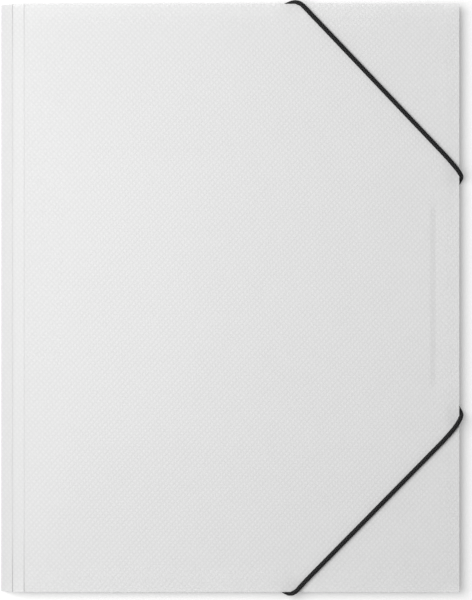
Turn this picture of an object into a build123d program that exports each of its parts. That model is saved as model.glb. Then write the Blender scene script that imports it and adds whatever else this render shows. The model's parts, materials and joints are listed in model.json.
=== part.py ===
from build123d import *
import os
from math import asin, atan2, cos, degrees, radians, sin

# Elastic folder for A4 papers, lying closed with its front cover up.
# The spine is at -X and the top edge at +Y. The table is at Z = 0.

# Driving sizes, in millimetres
folder_width = 250.0
folder_height = 320.0
sheet = 0.5
cord_diameter = 2.5

# Creased strips, measured along the sheet
spine_width = 8.8
hinge_strip_width = 6.4
gusset_width = 7.5
crease_gap = 0.15
cover_strip_slope = 12.0

# Flaps, measured from the folded edge that carries each one
end_flap_depth = 78.0
side_flap_depth = 140.0
spine_end_slant = 34.0
fore_end_slant = 50.0
side_flap_slant = 12.0
corner_relief = 4.2

# The cover's three free margins droop towards the folded edges
margin_width = 6.5
margin_drop = 1.5

# Running room between layers, and between a cord and what it lies on
layer_gap = 0.3
cord_gap = 0.1

# Holes and end bars
hole_clearance = 0.35
side_hole_inset = 14.0
side_hole_y = (48.1, -45.4)
end_hole_inset = (14.5, 16.7)
end_hole_from_right = 114.1
bar_length = 16.0
bar_width = 4.2
bar_height = 2.2
bar_edge = 0.5
bar_bore_clearance = 0.05
bar_bore_depth = 1.5
bar_turn = (110.0, 14.0)

# Elastic: where each front stretch crosses the two edges, and its bends
fore_edge_y = ((65.2, 61.7), (-62.6, -57.9))
end_edge_from_right = ((95.5, 88.2), (95.6, 88.0))
fore_bend_y = (76.1, -75.4)
end_bend_from_right = (80.0, 83.4)
edge_room = 0.3
hole_bend = 1.5
edge_bend = 2.8
margin_bend = 9.0

# Where the elastic is divided into nodes, as shares of its straight runs behind and inside
back_share = 0.55
inner_share = 0.8

# Heights of the layers, from the table up
cord_radius = cord_diameter / 2
back_low = cord_diameter + cord_gap
back_top = back_low + sheet
inner_cord_z = back_top + cord_gap + cord_radius
inner_cord_top = inner_cord_z + cord_radius
end_flap_low = inner_cord_top + layer_gap
side_flap_low = end_flap_low + sheet + layer_gap
cover_low = side_flap_low + sheet + layer_gap
cover_top = cover_low + sheet
front_cord_z = cover_top + cord_gap + cord_radius
rim_cord_z = front_cord_z - margin_drop

# Tilts of the creased strips
end_gusset_tilt = asin((end_flap_low - back_top) / gusset_width)
side_gusset_tilt = asin((side_flap_low - back_top) / gusset_width)
back_strip_tilt = asin((back_top - sheet) / hinge_strip_width)
cover_strip_tilt = radians(cover_strip_slope)
strip_rise = hinge_strip_width * sin(cover_strip_tilt)
spine_tilt = asin((cover_low - strip_rise - sheet) / spine_width)

# The cords stand out past the right edge, and the origin is the middle of the whole
wrap_out = edge_room + cord_radius
overhang = wrap_out + cord_radius
left = -(folder_width + overhang) / 2
right = left + folder_width
top = folder_height / 2

# Crease lines, on the sheet's inner face
spine_fold = Vector(left + sheet * sin(spine_tilt), 0, sheet)
strip_crease = spine_fold + Vector(cos(spine_tilt), 0, sin(spine_tilt)) * spine_width
cover_crease = strip_crease + Vector(cos(cover_strip_tilt), 0, sin(cover_strip_tilt)) * hinge_strip_width
back_crease = spine_fold + Vector(cos(back_strip_tilt), 0, sin(back_strip_tilt)) * hinge_strip_width
side_fold = Vector(right - sheet * sin(side_gusset_tilt), 0, back_top)
side_crease = side_fold + Vector(-cos(side_gusset_tilt), 0, sin(side_gusset_tilt)) * gusset_width
end_fold_y = top - sheet * sin(end_gusset_tilt)
end_crease_y = end_fold_y - gusset_width * cos(end_gusset_tilt)

# Holes for the elastic, upper one first
side_holes = [(right - side_hole_inset, y) for y in side_hole_y]
end_holes = [
    (right - end_hole_from_right, top - end_hole_inset[0]),
    (right - end_hole_from_right, end_hole_inset[1] - top),
]
hole_radius = cord_radius + hole_clearance


def inner_face(origin, across, outward):
    """The plane of a panel's inner face: Y runs across the panel, Z out of the folder."""
    across = Vector(across)
    outward = Vector(outward)
    return Plane(origin=origin, x_dir=across.cross(outward), z_dir=outward)


def add_panel(face, outline):
    """A flat panel of sheet, from its corner points on its inner face."""
    with BuildSketch(face) as panel:
        with BuildLine():
            Polyline(*outline, close=True)
        make_face()
    extrude(panel.sketch, amount=sheet)


def strip_outline(half_start, half_end, width):
    """A strip between two creases, a little short of both of them."""
    return [
        (-half_start, crease_gap),
        (half_start, crease_gap),
        (half_end, width - crease_gap),
        (-half_end, width - crease_gap),
    ]


os.makedirs("parts", exist_ok=True)
nodes = []


def keep(name, part):
    """Labels a finished piece and remembers it for the export."""
    part.label = name
    nodes.append(part)


# Back cover with its four holes
with BuildPart() as back_cover:
    with BuildSketch(Plane.XY.offset(back_low)):
        with BuildLine():
            Polyline(
                (back_crease.X + crease_gap, -end_fold_y + crease_gap),
                (side_fold.X - crease_gap, -end_fold_y + crease_gap),
                (side_fold.X - crease_gap, end_fold_y - crease_gap),
                (back_crease.X + crease_gap, end_fold_y - crease_gap),
                close=True,
            )
        make_face()
        with Locations(*side_holes, *end_holes):
            Circle(hole_radius, mode=Mode.SUBTRACT)
    extrude(amount=sheet)
keep("back_cover", back_cover.part)

# Hinge strips and spine
with BuildPart() as back_hinge_strip:
    back_strip_face = inner_face(
        spine_fold,
        (cos(back_strip_tilt), 0, sin(back_strip_tilt)),
        (sin(back_strip_tilt), 0, -cos(back_strip_tilt)),
    )
    add_panel(back_strip_face, strip_outline(top, top, hinge_strip_width))
keep("back_hinge_strip", back_hinge_strip.part)

with BuildPart() as spine_panel:
    spine_face = inner_face(
        spine_fold,
        (cos(spine_tilt), 0, sin(spine_tilt)),
        (-sin(spine_tilt), 0, cos(spine_tilt)),
    )
    add_panel(spine_face, strip_outline(top, top, spine_width))
keep("spine_panel", spine_panel.part)

with BuildPart() as front_hinge_strip:
    front_strip_face = inner_face(
        strip_crease,
        (cos(cover_strip_tilt), 0, sin(cover_strip_tilt)),
        (-sin(cover_strip_tilt), 0, cos(cover_strip_tilt)),
    )
    add_panel(front_strip_face, strip_outline(top, top, hinge_strip_width))
keep("front_hinge_strip", front_hinge_strip.part)


def drooping_block(raised):
    """The space under the cover, up to its outer face, or to its inner one if raised by minus the sheet."""
    slope = degrees(atan2(margin_drop, margin_width))
    block_top = cover_top + raised
    with BuildPart() as block:
        with BuildSketch(Plane.XY.offset(raised)):
            with BuildLine():
                Polyline(
                    (cover_crease.X + crease_gap, -top),
                    (right, -top),
                    (right, top),
                    (cover_crease.X + crease_gap, top),
                    close=True,
                )
            make_face()
        extrude(amount=cover_top)
        fore_margin = Plane(origin=(right - margin_width, 0, block_top)).rotated((0, slope, 0))
        upper_margin = Plane(origin=(0, top - margin_width, block_top)).rotated((-slope, 0, 0))
        lower_margin = Plane(origin=(0, margin_width - top, block_top)).rotated((slope, 0, 0))
        for margin in (fore_margin, upper_margin, lower_margin):
            split(bisect_by=margin, keep=Keep.BOTTOM)
    return block.part


# Front cover: one sheet, flat as far as its drooping margins
with BuildPart() as front_cover:
    add(drooping_block(0))
    add(drooping_block(-sheet), mode=Mode.SUBTRACT)
keep("front_cover", front_cover.part)


def end_gusset_panel(side):
    """The narrow strip that lifts an end flap; side is 1 at the top edge, -1 at the bottom."""
    face = inner_face(
        (0, side * end_fold_y, back_top),
        (0, -side * cos(end_gusset_tilt), sin(end_gusset_tilt)),
        (0, side * sin(end_gusset_tilt), cos(end_gusset_tilt)),
    )
    fold_right = side_crease.X - layer_gap - corner_relief
    crease_right = side_crease.X - layer_gap
    spine_end = cover_crease.X
    outline = [
        (spine_end, crease_gap),
        (fold_right, crease_gap),
        (crease_right, gusset_width - crease_gap),
        (spine_end, gusset_width - crease_gap),
    ]
    add_panel(face, [(-side * x, y) for x, y in outline])


def end_flap_panel(side):
    """A top or bottom flap, with both ends cut back so that it clears the cover and side flap."""
    free_edge = top - end_flap_depth
    outline = [
        (cover_crease.X, end_crease_y - crease_gap),
        (side_crease.X - layer_gap, end_crease_y - crease_gap),
        (side_crease.X - layer_gap - fore_end_slant, free_edge),
        (cover_crease.X + spine_end_slant, free_edge),
    ]
    add_panel(Plane.XY.offset(end_flap_low), [(x, side * y) for x, y in outline])


with BuildPart() as top_gusset:
    end_gusset_panel(1)
keep("top_gusset", top_gusset.part)

with BuildPart() as top_flap:
    end_flap_panel(1)
keep("top_flap", top_flap.part)

with BuildPart() as bottom_gusset:
    end_gusset_panel(-1)
keep("bottom_gusset", bottom_gusset.part)

with BuildPart() as bottom_flap:
    end_flap_panel(-1)
keep("bottom_flap", bottom_flap.part)

# Side flap and the gusset that lifts it
with BuildPart() as side_gusset:
    side_gusset_face = inner_face(
        side_fold,
        (-cos(side_gusset_tilt), 0, sin(side_gusset_tilt)),
        (sin(side_gusset_tilt), 0, cos(side_gusset_tilt)),
    )
    add_panel(side_gusset_face, strip_outline(end_crease_y + corner_relief, end_crease_y, gusset_width))
keep("side_gusset", side_gusset.part)

with BuildPart() as side_flap:
    side_flap_free = right - side_flap_depth
    with BuildSketch(Plane.XY.offset(side_flap_low)):
        with BuildLine():
            Polyline(
                (side_crease.X - crease_gap, -end_crease_y),
                (side_crease.X - crease_gap, end_crease_y),
                (side_flap_free, end_crease_y - side_flap_slant),
                (side_flap_free, side_flap_slant - end_crease_y),
                close=True,
            )
        make_face()
    extrude(amount=sheet)
keep("side_flap", side_flap.part)


def add_cord(points, bends):
    """A round cord along straight runs joined by arcs, one bend radius for each corner."""
    with BuildLine() as route:
        FilletPolyline(*points, radius=bends)
    path = route.wire()
    with BuildSketch(Plane(origin=path @ 0, z_dir=path % 0)) as section:
        Circle(cord_radius)
    sweep(section.sketch, path=path)
    lengths.append(path.length)
    print(f"cord run {path.length:.1f} mm long, bend radii {bends}")


lengths = []


def back_join(hole, corner):
    """Where a back run and a front stretch meet, on the straight run under the back cover."""
    under_hole = Vector(*hole, cord_radius)
    return under_hole + (Vector(*corner) - under_hole) * back_share


# The two front stretches, each with its turns round the two edges
end_corners = []
fore_corners = []
for place, side in enumerate((1, -1)):
    end_out = side * (top + wrap_out)
    fore_out = right + wrap_out
    end_low = (right - end_edge_from_right[place][0], end_out, cord_radius)
    end_high = (right - end_edge_from_right[place][1], end_out, rim_cord_z)
    end_margin = (right - end_bend_from_right[place], side * (top - margin_width), front_cord_z)
    fore_margin = (right - margin_width, fore_bend_y[place], front_cord_z)
    fore_high = (fore_out, fore_edge_y[place][0], rim_cord_z)
    fore_low = (fore_out, fore_edge_y[place][1], cord_radius)
    end_corners.append(end_low)
    fore_corners.append(fore_low)
    with BuildPart() as front_elastic:
        add_cord(
            [
                back_join(end_holes[place], end_low),
                end_low,
                end_high,
                end_margin,
                fore_margin,
                fore_high,
                fore_low,
                back_join(side_holes[place], fore_low),
            ],
            [edge_bend, edge_bend, margin_bend, margin_bend, edge_bend, edge_bend],
        )
    keep(("upper_front_elastic", "lower_front_elastic")[place], front_elastic.part)

# The runs behind the back cover, up through the end holes into the end bars
bar_low = back_top + cord_gap
bar_bore_top = bar_low + bar_bore_depth
for place, name in enumerate(("upper_end_elastic", "lower_end_elastic")):
    hole = end_holes[place]
    with BuildPart() as end_elastic:
        add_cord(
            [
                (*hole, bar_bore_top - cord_gap),
                (*hole, cord_radius),
                back_join(hole, end_corners[place]),
            ],
            [hole_bend],
        )
    keep(name, end_elastic.part)

# The run that goes behind, in through both side holes and along the inside
for place, name in enumerate(("upper_side_elastic", "lower_side_elastic")):
    hole = side_holes[place]
    with BuildPart() as side_elastic:
        add_cord(
            [
                back_join(hole, fore_corners[place]),
                (*hole, cord_radius),
                (*hole, inner_cord_z),
                (hole[0], hole[1] * inner_share, inner_cord_z),
            ],
            [hole_bend, hole_bend],
        )
    keep(name, side_elastic.part)

with BuildPart() as inner_elastic:
    inner_start = Plane(
        origin=(side_holes[0][0], side_holes[0][1] * inner_share, inner_cord_z), z_dir=(0, -1, 0)
    )
    inner_length = (side_holes[0][1] - side_holes[1][1]) * inner_share
    with BuildSketch(inner_start):
        Circle(cord_radius)
    extrude(amount=inner_length)
    lengths.append(inner_length)
keep("inner_elastic", inner_elastic.part)

# Metal end bars, each with a blind bore that grips the elastic's end
for place, name in enumerate(("upper_end_bar", "lower_end_bar")):
    bar_plane = Plane(origin=(*end_holes[place], bar_low)).rotated((0, 0, bar_turn[place]))
    with BuildPart() as end_bar:
        with BuildSketch(bar_plane):
            SlotOverall(bar_length, bar_width)
            Circle(cord_radius + bar_bore_clearance, mode=Mode.SUBTRACT)
        extrude(amount=bar_bore_depth)
        with BuildSketch(bar_plane.offset(bar_bore_depth)):
            SlotOverall(bar_length, bar_width)
        extrude(amount=bar_height - bar_bore_depth)
        fillet(end_bar.faces().sort_by(Axis.Z)[-1].edges(), radius=bar_edge)
    keep(name, end_bar.part)

for part in nodes:
    export_step(part, f"parts/{part.label}.step")

print(f"{len(nodes)} nodes, elastic {sum(lengths):.0f} mm long in all")
print(f"spine fold at {spine_fold}, tilt {degrees(spine_tilt):.2f} degrees")
print(f"strip crease at {strip_crease}, cover crease at {cover_crease}")
print(f"side fold at {side_fold}, side crease at {side_crease}")
print(f"end fold Y {end_fold_y:.3f}, end crease Y {end_crease_y:.3f}, Z {end_flap_low:.3f}")
print(f"gusset tilts {degrees(end_gusset_tilt):.2f} and {degrees(side_gusset_tilt):.2f} degrees")
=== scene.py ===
# %% [markdown]
# # An elastic folder of frosted sheet
#
# The folder is one die-cut sheet of frosted polypropylene, half a millimetre thick, with a fine diamond emboss.
# It is creased into panels: a back cover, a spine, a front cover and three flaps. One black elastic holds the
# two free corners shut. The frame gives the panels and their creases at their real size, so this file only
# dresses them: softened sheets, rounded creases, a braided cord, finishes, light and a camera.

import json

import bpy
import numpy as np
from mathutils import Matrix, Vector


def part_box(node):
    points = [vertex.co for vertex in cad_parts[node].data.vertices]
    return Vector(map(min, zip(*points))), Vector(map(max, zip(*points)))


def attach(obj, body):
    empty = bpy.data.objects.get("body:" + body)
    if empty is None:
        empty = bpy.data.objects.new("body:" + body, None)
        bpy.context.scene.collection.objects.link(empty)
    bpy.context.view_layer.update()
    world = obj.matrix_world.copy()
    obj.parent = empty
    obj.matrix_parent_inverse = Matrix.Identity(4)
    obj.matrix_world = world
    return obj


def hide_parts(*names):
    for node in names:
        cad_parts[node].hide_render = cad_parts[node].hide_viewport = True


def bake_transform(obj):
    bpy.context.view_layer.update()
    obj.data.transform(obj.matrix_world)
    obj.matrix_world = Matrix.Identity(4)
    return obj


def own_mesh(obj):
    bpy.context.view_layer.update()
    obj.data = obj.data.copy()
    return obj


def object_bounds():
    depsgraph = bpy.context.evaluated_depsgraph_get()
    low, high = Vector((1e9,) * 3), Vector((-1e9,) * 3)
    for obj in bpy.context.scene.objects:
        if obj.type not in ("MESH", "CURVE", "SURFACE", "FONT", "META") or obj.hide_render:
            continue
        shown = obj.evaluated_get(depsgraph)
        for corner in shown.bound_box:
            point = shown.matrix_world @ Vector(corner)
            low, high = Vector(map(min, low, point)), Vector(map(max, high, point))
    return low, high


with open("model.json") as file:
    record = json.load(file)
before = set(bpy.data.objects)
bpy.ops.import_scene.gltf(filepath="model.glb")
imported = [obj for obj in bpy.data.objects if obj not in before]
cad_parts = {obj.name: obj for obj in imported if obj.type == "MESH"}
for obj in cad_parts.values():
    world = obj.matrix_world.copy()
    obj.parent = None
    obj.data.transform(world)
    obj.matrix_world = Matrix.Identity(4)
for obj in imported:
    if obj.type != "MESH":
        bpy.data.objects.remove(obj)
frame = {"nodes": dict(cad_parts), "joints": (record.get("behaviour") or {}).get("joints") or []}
cad_low, cad_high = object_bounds()
MM = 0.001
joints = {joint["name"]: joint for joint in frame["joints"]}

# %% [markdown]
# Each crease is a joint of the frame, so its place is read from there and not written again. The sheet's
# thickness is the height of the side flap, which lies flat, and the cord's is that of its inside run.

# %% Measure the frame
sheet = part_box("side_flap")[1].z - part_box("side_flap")[0].z
cord_radius = (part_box("inner_elastic")[1].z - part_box("inner_elastic")[0].z) / 2
cover_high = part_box("front_cover")[1]
back_low, back_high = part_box("back_cover")
PANEL_SETBACK = 0.15 * MM
crease = {name: np.array(joint["pos_m"]) for name, joint in joints.items()}
print("sheet %.2f mm, cord %.2f mm" % (sheet / MM, 2 * cord_radius / MM))

# %% [markdown]
# ## The camera first
#
# The folder is seen from straight above, with its spine on the left. A long lens from 1.5 m keeps the edges
# square. One pixel of the 472 by 600 picture covers 0.544 mm at the front cover.

# %% Camera
PIXEL = 0.544 * MM
FRAME_HEIGHT = 600
CAMERA_HEIGHT = 1.5
SENSOR = 36.0
folder_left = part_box("spine_panel")[0].x
folder_middle = (folder_left + cover_high.x) / 2
FRAMING = (6.3, -2.1)
camera_x = folder_middle + FRAMING[0] * PIXEL
camera_y = FRAMING[1] * PIXEL

camera_data = bpy.data.cameras.new("Camera")
camera_data.sensor_fit = "VERTICAL"
camera_data.sensor_height = SENSOR
camera_data.lens = SENSOR * CAMERA_HEIGHT / (FRAME_HEIGHT * PIXEL)
camera_data.clip_start = 0.01
camera = bpy.data.objects.new("Camera", camera_data)
camera.location = (camera_x, camera_y, cover_high.z + CAMERA_HEIGHT)
bpy.context.scene.collection.objects.link(camera)
bpy.context.scene.camera = camera
print("lens %.0f mm" % camera_data.lens)

# %% [markdown]
# ## Helpers for surfaces
#
# Every new piece is a grid of points worked out as whole arrays: a number of rings, each with the same number
# of points. The faces between them follow from the counts alone.


# %% Grid meshes
def grid_faces(rings, around, closed):
    """Quads between neighbouring rings; with closed, the last point of a ring joins its first."""
    last = around if closed else around - 1
    ring, step = np.meshgrid(np.arange(rings - 1), np.arange(last), indexing="ij")
    after = (step + 1) % around
    corners = [ring * around + step, ring * around + after, (ring + 1) * around + after, (ring + 1) * around + step]
    return np.stack(corners, axis=-1).reshape(-1, 4)


def cap_ends(rings, around):
    """The first and last ring as single faces, wound so that both face outwards."""
    first = list(range(around))[::-1]
    last = list(range((rings - 1) * around, rings * around))
    return [first, last]


def make_piece(name, points, faces, material, uv=None, ends=None):
    """A mesh object at the origin from an array of points and one of quads, closed by its first and last ring when
    ends are given.
    """
    mesh = bpy.data.meshes.new(name)
    caps = cap_ends(*ends) if ends else []
    mesh.from_pydata(points.reshape(-1, 3).tolist(), [], faces.tolist() + caps)
    mesh.polygons.foreach_set("use_smooth", np.ones(len(mesh.polygons), bool))
    if uv is not None:
        loops = np.zeros(len(mesh.loops), np.int32)
        mesh.loops.foreach_get("vertex_index", loops)
        layer = mesh.uv_layers.new(name="along")
        layer.data.foreach_set("uv", uv.reshape(-1, 2)[loops].ravel())
    mesh.materials.append(material)
    mesh.update()
    piece = bpy.data.objects.new(name, mesh)
    bpy.context.scene.collection.objects.link(piece)
    return piece


# %% [markdown]
# ## The frosted sheet
#
# The sheet lets a little sight through: things that touch it from behind show as faint shapes, and things
# further back fade out. A plain alpha does that, and it stays the same on every panel. The emboss is two sets of
# fine ridges that cross near a right angle, so each small diamond between them is a low pyramid. Its height is
# the lesser of two triangle waves.
# The colour is painted darker down the valleys of the diamonds, a painted shade of the emboss, with a random haze
# over it.


# %% Node helpers
def add_node(tree, kind, **values):
    """A new node, with its plain settings given by name and its sockets by label."""
    node = tree.nodes.new(kind)
    for key, value in values.items():
        if key in node.inputs:
            node.inputs[key].default_value = value
        else:
            setattr(node, key, value)
    return node


def math_node(tree, operation, first, second=None):
    """A maths node on one or two inputs, each a socket or a number."""
    node = tree.nodes.new("ShaderNodeMath")
    node.operation = operation
    for place, value in enumerate((first, second)):
        if value is None:
            continue
        if isinstance(value, (int, float)):
            node.inputs[place].default_value = value
        else:
            tree.links.new(value, node.inputs[place])
    return node.outputs[0]


# %% Sheet material
RIDGE_PITCH = (2.28 * MM, 2.14 * MM)
RIDGE_TURN = (-41.3, 45.6)
SHEET_COLOR = (0.94, 0.94, 0.94, 1)
SHEET_PAINTED_SHADE = (0.86, 0.86, 0.86, 1)
SHEET_ROUGHNESS = (0.36, 0.56)
SHEET_IOR = 1.49
HAZE_SCALE = 90.0
WAVINESS_SCALE = 14.0
WAVINESS_HEIGHT = 1.2 * MM


def ridge_wave(tree, place, pitch, degrees_turn):
    """A triangle wave from 0 to 1 across one set of ridges."""
    turn = np.radians(degrees_turn)
    along = tree.nodes.new("ShaderNodeVectorMath")
    along.operation = "DOT_PRODUCT"
    tree.links.new(place, along.inputs[0])
    along.inputs[1].default_value = (np.cos(turn) / pitch, np.sin(turn) / pitch, 0)
    wave = math_node(tree, "PINGPONG", along.outputs["Value"], 0.5)
    return math_node(tree, "MULTIPLY", wave, 2.0)


def sheet_material(name, alpha, emboss, painted_dimming=1.0):
    """Frosted polypropylene; emboss is the height of its diamonds in metres. Its colour is painted shade, darker
    down the diamonds' valleys, with a random haze, and the last argument darkens both colours as further painted
    shade.
    """
    material = bpy.data.materials.new(name)
    material.use_nodes = True
    tree = material.node_tree
    shader = tree.nodes["Principled BSDF"]
    place = tree.nodes.new("ShaderNodeTexCoord").outputs["Object"]
    waves = [ridge_wave(tree, place, pitch, turn) for pitch, turn in zip(RIDGE_PITCH, RIDGE_TURN)]
    diamond = math_node(tree, "MINIMUM", *waves)
    haze = add_node(tree, "ShaderNodeTexNoise", Scale=HAZE_SCALE, Detail=3.0, Roughness=0.55)
    tree.links.new(place, haze.inputs["Vector"])
    # Painted shade: the colour darkens down the valleys of the diamonds, with a random haze on top.
    painted_shade_and_haze = math_node(tree, "ADD", math_node(tree, "MULTIPLY", diamond, 0.8),
                      math_node(tree, "MULTIPLY", haze.outputs["Fac"], 0.35))
    tint = add_node(tree, "ShaderNodeMix", data_type="RGBA")
    tint.inputs["A"].default_value = [painted_dimming * value for value in SHEET_PAINTED_SHADE[:3]] + [1]
    tint.inputs["B"].default_value = [painted_dimming * value for value in SHEET_COLOR[:3]] + [1]
    tree.links.new(painted_shade_and_haze, tint.inputs["Factor"])
    tree.links.new(tint.outputs["Result"], shader.inputs["Base Color"])
    rough = add_node(tree, "ShaderNodeMapRange")
    rough.inputs["To Min"].default_value, rough.inputs["To Max"].default_value = SHEET_ROUGHNESS
    tree.links.new(haze.outputs["Fac"], rough.inputs["Value"])
    tree.links.new(rough.outputs["Result"], shader.inputs["Roughness"])
    waviness = add_node(tree, "ShaderNodeTexNoise", Scale=WAVINESS_SCALE, Detail=1.0)
    tree.links.new(place, waviness.inputs["Vector"])
    soft = add_node(tree, "ShaderNodeBump", Strength=0.5, Distance=WAVINESS_HEIGHT)
    tree.links.new(waviness.outputs["Fac"], soft.inputs["Height"])
    bump = add_node(tree, "ShaderNodeBump", Strength=1.0, Distance=emboss)
    tree.links.new(diamond, bump.inputs["Height"])
    tree.links.new(soft.outputs["Normal"], bump.inputs["Normal"])
    tree.links.new(bump.outputs["Normal"], shader.inputs["Normal"])
    shader.inputs["Alpha"].default_value = alpha
    shader.inputs["IOR"].default_value = SHEET_IOR
    shader.inputs["Specular IOR Level"].default_value = 0.35
    return material


embossed = sheet_material("embossed_sheet", alpha=0.6, emboss=0.085 * MM)
# The creased panels and webs are the same plastic with both colours painted 5 % darker, a painted shade against the
# extra lamp light their tilt catches.
creased = sheet_material("creased_sheet", alpha=0.62, emboss=0.04 * MM, painted_dimming=0.95)
inner = sheet_material("inner_sheet", alpha=0.5, emboss=0.05 * MM)
for panel in ("back_cover", "top_flap", "bottom_flap", "side_flap"):
    frame["nodes"][panel].data.materials.clear()
    frame["nodes"][panel].data.materials.append(inner)
print("sheet finishes made")

# %% [markdown]
# ## The front cover
#
# The real cover is flat where the flaps fill the folder under it, and droops a little along its three free
# edges, where nothing holds it up. The cord pulls the edge down further where it turns round it. Over the
# inside run of the cord, two low steps leave faint lines, where the real cord shows through. A height function
# of x and y says all of this, and a Solidify modifier gives it the sheet's thickness.

# %% Cover heights
MARGIN = 6.5 * MM
DROOP = 0.45 * MM
MARGIN_SOFTNESS = 2.0 * MM
BOW = 0.06 * MM
BOW_LENGTHS = (0.21, 0.33)
BOW_STARTS = (0.8, 0.4)
BOW_HELD = 20 * MM
COVER_STEPS = (200, 238)
COVER_CROWDING = (0.8, 0.85)
PULL = 0.8 * MM
PULL_REACH = 6.0 * MM
PRESS = 0.17 * MM
PRESS_STEP = 0.2 * MM
PRESS_RISE = 13.0 * MM
PRESS_SIDES = (15.3 * MM, 13.7 * MM)
PRESS_ENDS = (-45.4 * MM, 48.1 * MM)
PRESS_FADE = 3 * MM
cover_left = crease["strip_to_cover_crease"][0] + PANEL_SETBACK
right = cover_high.x
top = cover_high.y
UPPER_CROSSINGS = ((right - 87.9 * MM, top), (right, 65.0 * MM))
LOWER_CROSSINGS = ((right - 89.5 * MM, -top), (right, -65.2 * MM))


def soft_ramp(distance, softness):
    """Rises from 0 with slope 1, its corner rounded over the softness: half of x plus the root of x2 + s2."""
    return 0.5 * (distance + np.sqrt(distance**2 + softness**2))


def droop_at(x, y):
    """How far the cover lies below its flat height: a ramp into the margins, and a dimple at each crossing."""
    into_margin = np.maximum(x - (right - MARGIN), np.abs(y) - (top - MARGIN))
    drop = DROOP / MARGIN * soft_ramp(into_margin, MARGIN_SOFTNESS)
    for edge_x, edge_y in UPPER_CROSSINGS + LOWER_CROSSINGS:
        drop = drop + PULL * np.exp(-((x - edge_x) ** 2 + (y - edge_y) ** 2) / PULL_REACH**2)
    return drop


def crowded(count, low, high, share):
    """Evenly spaced places, drawn closer together towards both ends by the share."""
    even = np.linspace(0, 1, count)
    return low + (high - low) * (even - share * np.sin(2 * np.pi * even) / (2 * np.pi))


def pressed_at(x, y):
    """The mark of the inside run: a step down over each of its two sides, and a gentle rise back after them."""
    past = np.maximum(PRESS_ENDS[0] - y, y - PRESS_ENDS[1]) / PRESS_FADE
    along_run = np.clip(1 - past, 0, 1)
    rise = np.clip((x - (right - PRESS_SIDES[1])) / PRESS_RISE, 0, 1)
    steps = sum(0.5 + 0.5 * np.tanh((x - (right - inward)) / PRESS_STEP) for inward in PRESS_SIDES)
    return PRESS * (2 * rise - steps) * along_run


X, Y = np.meshgrid(crowded(COVER_STEPS[0], cover_left, right, COVER_CROWDING[0]),
                   crowded(COVER_STEPS[1], -top, top, COVER_CROWDING[1]), indexing="ij")
waves = [np.sin(2 * np.pi * place / length + start)
         for place, length, start in zip((X, Y), BOW_LENGTHS, BOW_STARTS)]
bow = waves[0] * waves[1] - 1
held = np.clip((X - cover_left) / BOW_HELD, 0, 1)
Z = cover_high.z - droop_at(X, Y) + BOW * bow * held + pressed_at(X, Y)
cover = make_piece("front_cover_sheet", np.stack([X, Y, Z], axis=-1),
                   grid_faces(*COVER_STEPS, closed=False), embossed)
thick = cover.modifiers.new("thickness", "SOLIDIFY")
thick.thickness = sheet
thick.offset = -1
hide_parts("front_cover")
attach(cover, "cover")
print("cover %.0f by %.0f mm" % ((right - cover_left) / MM, 2 * top / MM))

# %% [markdown]
# ## Rounded creases
#
# The panels of the frame end a little short of each crease, so that they can turn. On the real sheet the
# plastic runs on round the fold. Each crease is filled with a thin web: its section is the panels' own
# thickness turned about the crease line, from one panel's outward side to the other's. A web on one body
# rides on it; a web that joins two stays where it is made, on neither of them.

# %% Crease webs
WEB_STEPS = 13
CLEAR = 0.01 * MM


def unit(vector):
    """The vector at length 1."""
    vector = np.array(vector, float)
    return vector / np.linalg.norm(vector)


def web_section(toward_a, toward_b, out_a, out_b):
    """The web's outline about its crease.

    It runs out along panel a, then round by equal turns of the outward side, and back along panel b.
    """
    reach = PANEL_SETBACK - CLEAR
    turn = np.arccos(np.clip(out_a @ out_b, -1, 1))
    share = np.linspace(0, 1, WEB_STEPS)[:, None]
    arc = (np.sin((1 - share) * turn) * out_a + np.sin(share * turn) * out_b) / np.sin(turn)
    start = [reach * toward_a, reach * toward_a + sheet * out_a]
    end = [reach * toward_b + sheet * out_b, reach * toward_b]
    if out_a @ toward_b > 0:
        return np.array(start + end)
    return np.concatenate([start, sheet * arc, end])


def crease_web(name, line_start, line_end, toward_a, toward_b, out_a, out_b, bodies):
    """A web along the crease line, closed at both ends, riding on one body, or fixed where it is made when it joins
    two.
    """
    out_a, out_b = unit(out_a), unit(out_b)
    section = web_section(unit(toward_a), unit(toward_b), out_a, out_b)
    along = np.linspace(0, 1, 9)[:, None, None]
    points = (1 - along) * np.array(line_start) + along * np.array(line_end) + section
    points[..., 0] = np.maximum(points[..., 0], cad_low.x)
    sides = grid_faces(len(along), len(section), closed=True)
    web = make_piece(name, points, sides, creased, ends=(len(along), len(section)))
    if len(set(bodies)) == 1:
        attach(web, bodies[0])
        return web
    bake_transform(web)
    return web


# %% Webs of the spine
def across(from_joint, to_joint):
    """The direction from one crease to the next, in the plane across the spine."""
    step = crease[to_joint] - crease[from_joint]
    return unit((step[0], 0, step[2]))


def left_of(direction):
    """The direction a quarter turn to the left, seen with Z up and X to the right."""
    return np.array([-direction[2], 0, direction[0]])


spine_up = across("cover_opening", "spine_to_strip_crease")
strip_up = across("spine_to_strip_crease", "strip_to_cover_crease")
flat = np.array([1.0, 0, 0])
down = np.array([0, 0, -1.0])
back_crease = np.array([back_low.x - PANEL_SETBACK, 0, back_high.z])
back_up = unit(back_crease - crease["cover_opening"])
spine_half = cover_high.y


def spine_web(name, crease_at, toward_a, toward_b, out_a, out_b, bodies, half=spine_half):
    """A web that runs the height of the folder."""
    low, high = (np.array([crease_at[0], end, crease_at[2]]) for end in (-half, half))
    return crease_web(name, low, high, toward_a, toward_b, out_a, out_b, bodies)


spine_web("back_crease_web", back_crease, -back_up, flat, -left_of(back_up), down, ["root"])
spine_web("spine_fold_web", crease["cover_opening"], back_up, spine_up, -left_of(back_up), left_of(spine_up),
          ["root", "spine"])
spine_web("strip_crease_web", crease["spine_to_strip_crease"], -spine_up, strip_up, left_of(spine_up),
          left_of(strip_up), ["spine", "front_strip"])
spine_web("cover_crease_web", crease["strip_to_cover_crease"], -strip_up, flat, left_of(strip_up), -down,
          ["front_strip", "cover"])

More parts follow.
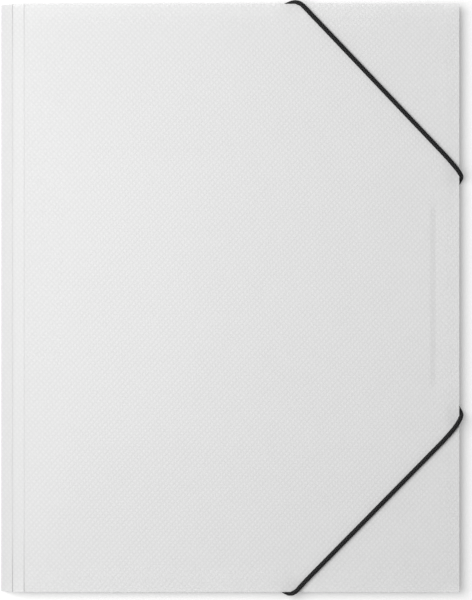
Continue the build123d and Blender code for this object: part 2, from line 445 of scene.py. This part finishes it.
# %% Webs of the gussets
gusset_low, gusset_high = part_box("top_gusset")
flap_low, flap_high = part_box("top_flap")
end_fold = crease["top_gusset_fold"]
end_crease = crease["top_flap_crease"]
gusset_in = unit((0, end_crease[1] - end_fold[1], end_crease[2] - end_fold[2]))
CORNER_RELIEF = 4.2 * MM
for side, end in ((1, "top"), (-1, "bottom")):
    mirror = np.array([1, side, 1])
    fold_line = [np.array([x, end_fold[1], end_fold[2]]) * mirror
                 for x in (gusset_low.x, gusset_high.x - CORNER_RELIEF)]
    crease_line = [np.array([x, end_crease[1], end_crease[2]]) * mirror for x in (flap_low.x, flap_high.x)]
    inward = gusset_in * mirror
    outward = np.array([0, gusset_in[2], -gusset_in[1]]) * mirror
    crease_web(end + "_fold_web", *fold_line, np.array([0, -1.0, 0]) * mirror, inward, down, outward,
               ["root", end + "_gusset"])
    crease_web(end + "_flap_web", *crease_line, -inward, np.array([0, -1.0, 0]) * mirror, outward, -down,
               [end + "_gusset", end + "_flap"])

side_in = across("side_gusset_fold", "side_flap_crease")
side_out = -left_of(side_in)
half_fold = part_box("side_gusset")[1].y
half_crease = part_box("side_flap")[1].y
spine_web("side_fold_web", crease["side_gusset_fold"], -flat, side_in, down, side_out, ["root", "side_gusset"],
          half=half_fold)
spine_web("side_flap_web", crease["side_flap_crease"], -side_in, -flat, side_out, -down,
          ["side_gusset", "side_flap"], half=half_crease)
for panel in ("back_hinge_strip", "spine_panel", "front_hinge_strip", "top_gusset", "bottom_gusset", "side_gusset"):
    frame["nodes"][panel].data.materials.clear()
    frame["nodes"][panel].data.materials.append(creased)
print("ten crease webs")

# %% [markdown]
# ## The elastic
#
# One round braided elastic, 2.5 mm thick, is held by two steel bars inside the back cover. Each front stretch
# comes from under the back cover, turns up round an edge, crosses a corner of the front cover and turns back
# down. The line is a smooth NURBS spline through the route that the frame's solids follow. Two points on the
# long run keep it straight. A tube is then carried along that line, and the strands of the braid are low
# ridges that wind both ways round it.

# %% Routes, from the right edge and the middle of the folder
ROUTES = {
    "upper_front_cord": [(-103.87, 154.328, 1.25), (-93.0, 161.1, 1.25), (-87.2, 161.1, 8.4),
                         (-83.0, 156.7, 9.45), (-69.66, 142.62, 9.45), (-16.84, 86.98, 9.45),
                         (-5.5, 75.05, 9.45), (1.25, 67.0, 8.4), (1.25, 64.2, 1.25), (-5.448, 55.58, 1.25)],
    "lower_front_cord": [(-103.925, -153.338, 1.25), (-95.2, -161.1, 1.25), (-90.0, -161.1, 8.4),
                         (-85.6, -155.75, 9.45), (-73.13, -143.08, 9.45), (-16.77, -85.82, 9.45),
                         (-4.7, -73.5, 9.45), (1.25, -65.2, 8.4), (1.25, -61.6, 1.25), (-5.448, -52.275, 1.25)],
    "upper_end_cord": [(-114.1, 145.5, 4.6), (-114.1, 145.5, 1.25), (-103.87, 154.328, 1.25)],
    "lower_end_cord": [(-114.1, -143.3, 4.6), (-114.1, -143.3, 1.25), (-103.925, -153.338, 1.25)],
    "inside_cord": [(-5.448, 55.58, 1.25), (-14.0, 48.1, 1.25), (-14.0, 48.1, 4.45), (-14.0, 38.48, 4.45),
                    (-14.0, -36.32, 4.45), (-14.0, -45.4, 4.45), (-14.0, -45.4, 1.25), (-5.448, -52.275, 1.25)],
}
STANDS_FOR = {
    "upper_front_cord": ["upper_front_elastic"],
    "lower_front_cord": ["lower_front_elastic"],
    "upper_end_cord": ["upper_end_elastic"],
    "lower_end_cord": ["lower_end_elastic"],
    "inside_cord": ["upper_side_elastic", "inner_elastic", "lower_side_elastic"],
}


# %% A line read from a spline
def spline_line(name, route):
    """Points of an open NURBS spline of order 3 whose control points are the route, in metres."""
    data = bpy.data.curves.new(name, "CURVE")
    data.dimensions = "3D"
    data.resolution_u = 64
    spline = data.splines.new("NURBS")
    spline.points.add(len(route) - 1)
    places = np.array([(right + x * MM, y * MM, z * MM, 1) for x, y, z in route])
    spline.points.foreach_set("co", places.ravel())
    spline.order_u = 3
    spline.use_endpoint_u = True
    holder = bpy.data.objects.new(name, data)
    bpy.context.scene.collection.objects.link(holder)
    bpy.context.view_layer.update()
    mesh = bpy.data.meshes.new_from_object(holder)
    line = np.zeros(len(mesh.vertices) * 3)
    mesh.vertices.foreach_get("co", line)
    bpy.data.objects.remove(holder)
    bpy.data.meshes.remove(mesh)
    return line.reshape(-1, 3)


def even_steps(line, step):
    """The line again with its points a step apart, by its length so far, and that length at each point."""
    lengths = np.concatenate([[0], np.cumsum(np.linalg.norm(np.diff(line, axis=0), axis=1))])
    places = np.linspace(0, lengths[-1], int(lengths[-1] / step) + 2)
    return np.stack([np.interp(places, lengths, line[:, axis]) for axis in range(3)], axis=-1), places


# %% Braided elastic material
BRAID_DARK = (0.001, 0.001, 0.0011, 1)
BRAID_LIGHT = (0.035, 0.035, 0.036, 1)
BRAID_TINT_SPAN = (0.45, 0.9)
BRAID_ROUGHNESS = (0.7, 0.95)
FLUFF_SCALE = 1500.0


def elastic_material():
    """Black textile braid: painted shade darkens the gaps between its strands and paints their tops lighter,
    following the tube's own map, with a random fluff over it.
    """
    material = bpy.data.materials.new("black_elastic")
    material.use_nodes = True
    tree = material.node_tree
    shader = tree.nodes["Principled BSDF"]
    place = tree.nodes.new("ShaderNodeUVMap").outputs["UV"]
    split = tree.nodes.new("ShaderNodeSeparateXYZ")
    tree.links.new(place, split.inputs[0])
    strands = []
    for way in (1, -1):
        turned = math_node(tree, "MULTIPLY", split.outputs["X"], STRANDS * 2 * np.pi)
        wound = math_node(tree, "MULTIPLY", split.outputs["Y"], way * 2 * np.pi / BRAID_PITCH)
        strands.append(math_node(tree, "COSINE", math_node(tree, "ADD", turned, wound)))
    raised = math_node(tree, "MAXIMUM", *strands)
    fluff = add_node(tree, "ShaderNodeTexNoise", Scale=FLUFF_SCALE, Detail=2.0)
    tree.links.new(tree.nodes.new("ShaderNodeTexCoord").outputs["Object"], fluff.inputs["Vector"])
    tint = tree.nodes.new("ShaderNodeValToRGB")
    for end, color, position in zip(tint.color_ramp.elements, (BRAID_DARK, BRAID_LIGHT), BRAID_TINT_SPAN):
        end.color = color
        end.position = position
    # Painted shade and light: darker in the gaps between the strands, lighter on their tops.
    painted_strand_shade = math_node(tree, "MULTIPLY", math_node(tree, "ADD", raised, 1.0), 0.35)
    tree.links.new(math_node(tree, "ADD", painted_strand_shade, math_node(tree, "MULTIPLY", fluff.outputs["Fac"], 0.3)),
                   tint.inputs["Fac"])
    tree.links.new(tint.outputs["Color"], shader.inputs["Base Color"])
    bump = add_node(tree, "ShaderNodeBump", Strength=0.6, Distance=0.05 * MM)
    tree.links.new(fluff.outputs["Fac"], bump.inputs["Height"])
    tree.links.new(bump.outputs["Normal"], shader.inputs["Normal"])
    rough = add_node(tree, "ShaderNodeMapRange")
    rough.inputs["To Min"].default_value, rough.inputs["To Max"].default_value = BRAID_ROUGHNESS
    tree.links.new(fluff.outputs["Fac"], rough.inputs["Value"])
    tree.links.new(rough.outputs["Result"], shader.inputs["Roughness"])
    shader.inputs["Specular IOR Level"].default_value = 0.12
    shader.inputs["Sheen Weight"].default_value = 0.02
    return material


# %% Braided tubes
STRANDS = 6
BRAID_PITCH = 2.9 * MM
BRAID_RIDGE = 0.1 * MM
AROUND = 32
CORD_STEP = 0.28 * MM
black_elastic = elastic_material()


def braided_tube(name, route, reference):
    """A ring of points about each place on the line, with its radius raised along strands that wind both ways.

    Each ring is square to the line: its first axis is the line's direction crossed with the reference, and its
    second is square to both.
    """
    centre, lengths = even_steps(spline_line(name, route), CORD_STEP)
    ahead = np.gradient(centre, axis=0)
    ahead /= np.linalg.norm(ahead, axis=1)[:, None]
    first = np.cross(ahead, reference)
    first /= np.linalg.norm(first, axis=1)[:, None]
    second = np.cross(ahead, first)
    turn = np.linspace(0, 2 * np.pi, AROUND, endpoint=False)
    wind = 2 * np.pi * lengths[:, None] / BRAID_PITCH
    raised = np.maximum(np.cos(STRANDS * turn + wind), np.cos(STRANDS * turn - wind))
    radius = cord_radius - BRAID_RIDGE * (1 - raised) / 2
    ring = np.cos(turn)[None, :, None] * first[:, None] + np.sin(turn)[None, :, None] * second[:, None]
    points = centre[:, None] + radius[:, :, None] * ring
    uv = np.stack(np.broadcast_arrays(turn[None, :] / (2 * np.pi), lengths[:, None]), axis=-1)
    size = (len(centre), AROUND)
    tube = make_piece(name, points, grid_faces(*size, closed=True), black_elastic, uv=uv, ends=size)
    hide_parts(*STANDS_FOR[name])
    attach(tube, "root")
    print(name, "%.1f mm" % (lengths[-1] / MM))
    return tube


UPWARD = np.array([0, 0, 1.0])
RIGHTWARD = np.array([1.0, 0, 0])
for name, route in ROUTES.items():
    reference = UPWARD if "front" in name else RIGHTWARD
    tube = braided_tube(name, route, reference)
    if "front" in name:
        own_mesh(tube)

# %% [markdown]
# ## End bars
#
# Two small flat steel bars grip the ends of the elastic. They shine a little, and fine scratches run along
# them. Their shape comes from the frame.


# %% Bar steel
STEEL_TINTS = ((0.36, 0.36, 0.37, 1), (0.62, 0.62, 0.63, 1))
STEEL_ROUGHNESS = (0.3, 0.55)
SCRATCH_STRETCH = (300, 2500, 900)


def bar_material():
    """Dull plated steel: stretched noise for its scratches, in the colour, roughness and bump."""
    material = bpy.data.materials.new("bar_steel")
    material.use_nodes = True
    tree = material.node_tree
    shader = tree.nodes["Principled BSDF"]
    stretch = add_node(tree, "ShaderNodeMapping", Scale=SCRATCH_STRETCH)
    tree.links.new(tree.nodes.new("ShaderNodeTexCoord").outputs["Object"], stretch.inputs["Vector"])
    scratches = add_node(tree, "ShaderNodeTexNoise", Scale=1.0, Detail=4.0)
    tree.links.new(stretch.outputs["Vector"], scratches.inputs["Vector"])
    tint = tree.nodes.new("ShaderNodeValToRGB")
    for end, color in zip(tint.color_ramp.elements, STEEL_TINTS):
        end.color = color
    tree.links.new(scratches.outputs["Fac"], tint.inputs["Fac"])
    tree.links.new(tint.outputs["Color"], shader.inputs["Base Color"])
    rough = add_node(tree, "ShaderNodeMapRange")
    rough.inputs["To Min"].default_value, rough.inputs["To Max"].default_value = STEEL_ROUGHNESS
    tree.links.new(scratches.outputs["Fac"], rough.inputs["Value"])
    tree.links.new(rough.outputs["Result"], shader.inputs["Roughness"])
    bump = add_node(tree, "ShaderNodeBump", Strength=0.3, Distance=0.03 * MM)
    tree.links.new(scratches.outputs["Fac"], bump.inputs["Height"])
    tree.links.new(bump.outputs["Normal"], shader.inputs["Normal"])
    shader.inputs["Metallic"].default_value = 0.9
    return material


bar_steel = bar_material()
for bar in ("upper_end_bar", "lower_end_bar"):
    frame["nodes"][bar].data.materials.clear()
    frame["nodes"][bar].data.materials.append(bar_steel)
print("bars finished")

# %% [markdown]
# ## Floor and light
#
# The floor is white to the camera and keeps the folder's soft shadow. A large lamp stands up and to the left,
# and the world fills in from all round.

# %% Floor
FLOOR_GLOW = 0.21
FLOOR_COLOR = (0.8, 0.8, 0.8, 1)


def floor_material():
    """White matt floor that glows a little for the camera and reflections only."""
    material = bpy.data.materials.new("floor")
    material.use_nodes = True
    tree = material.node_tree
    tree.nodes.clear()
    out = tree.nodes.new("ShaderNodeOutputMaterial")
    matt = add_node(tree, "ShaderNodeBsdfDiffuse", Color=FLOOR_COLOR)
    glow = tree.nodes.new("ShaderNodeEmission")
    path = tree.nodes.new("ShaderNodeLightPath")
    seen = math_node(tree, "MAXIMUM", path.outputs["Is Camera Ray"], path.outputs["Is Glossy Ray"])
    seen = math_node(tree, "MAXIMUM", seen, path.outputs["Is Transmission Ray"])
    tree.links.new(math_node(tree, "MULTIPLY", seen, FLOOR_GLOW), glow.inputs["Strength"])
    both = tree.nodes.new("ShaderNodeAddShader")
    tree.links.new(matt.outputs[0], both.inputs[0])
    tree.links.new(glow.outputs[0], both.inputs[1])
    tree.links.new(both.outputs[0], out.inputs["Surface"])
    return material


FLOOR_HALF = 3.0
corners = np.array([[-1, -1, 0], [1, -1, 0], [1, 1, 0], [-1, 1, 0]]) * FLOOR_HALF
floor_mesh = bpy.data.meshes.new("floor")
floor_mesh.from_pydata(corners.tolist(), [], [[0, 1, 2, 3]])
floor_mesh.materials.append(floor_material())
floor = bpy.data.objects.new("floor", floor_mesh)
bpy.context.scene.collection.objects.link(floor)

# %% Lights
WORLD_LEVEL = 0.335
LAMP_POWER = 12.9
LAMP_SIZE = 0.9
LAMP_PLACE = (-0.48, 0.18, 1.02)
world = bpy.data.worlds.new("world")
world.use_nodes = True
world.node_tree.nodes["Background"].inputs["Color"].default_value = (1, 1, 1, 1)
world.node_tree.nodes["Background"].inputs["Strength"].default_value = WORLD_LEVEL
bpy.context.scene.world = world

lamp_data = bpy.data.lights.new("key", "AREA")
lamp_data.shape = "SQUARE"
lamp_data.size = LAMP_SIZE
lamp_data.energy = LAMP_POWER
lamp = bpy.data.objects.new("key", lamp_data)
lamp.location = LAMP_PLACE
lamp.rotation_euler = (Vector((0, 0, 0)) - lamp.location).to_track_quat("-Z", "Y").to_euler()
bpy.context.scene.collection.objects.link(lamp)

# %% Finish
bpy.context.scene.view_settings.view_transform = "Standard"
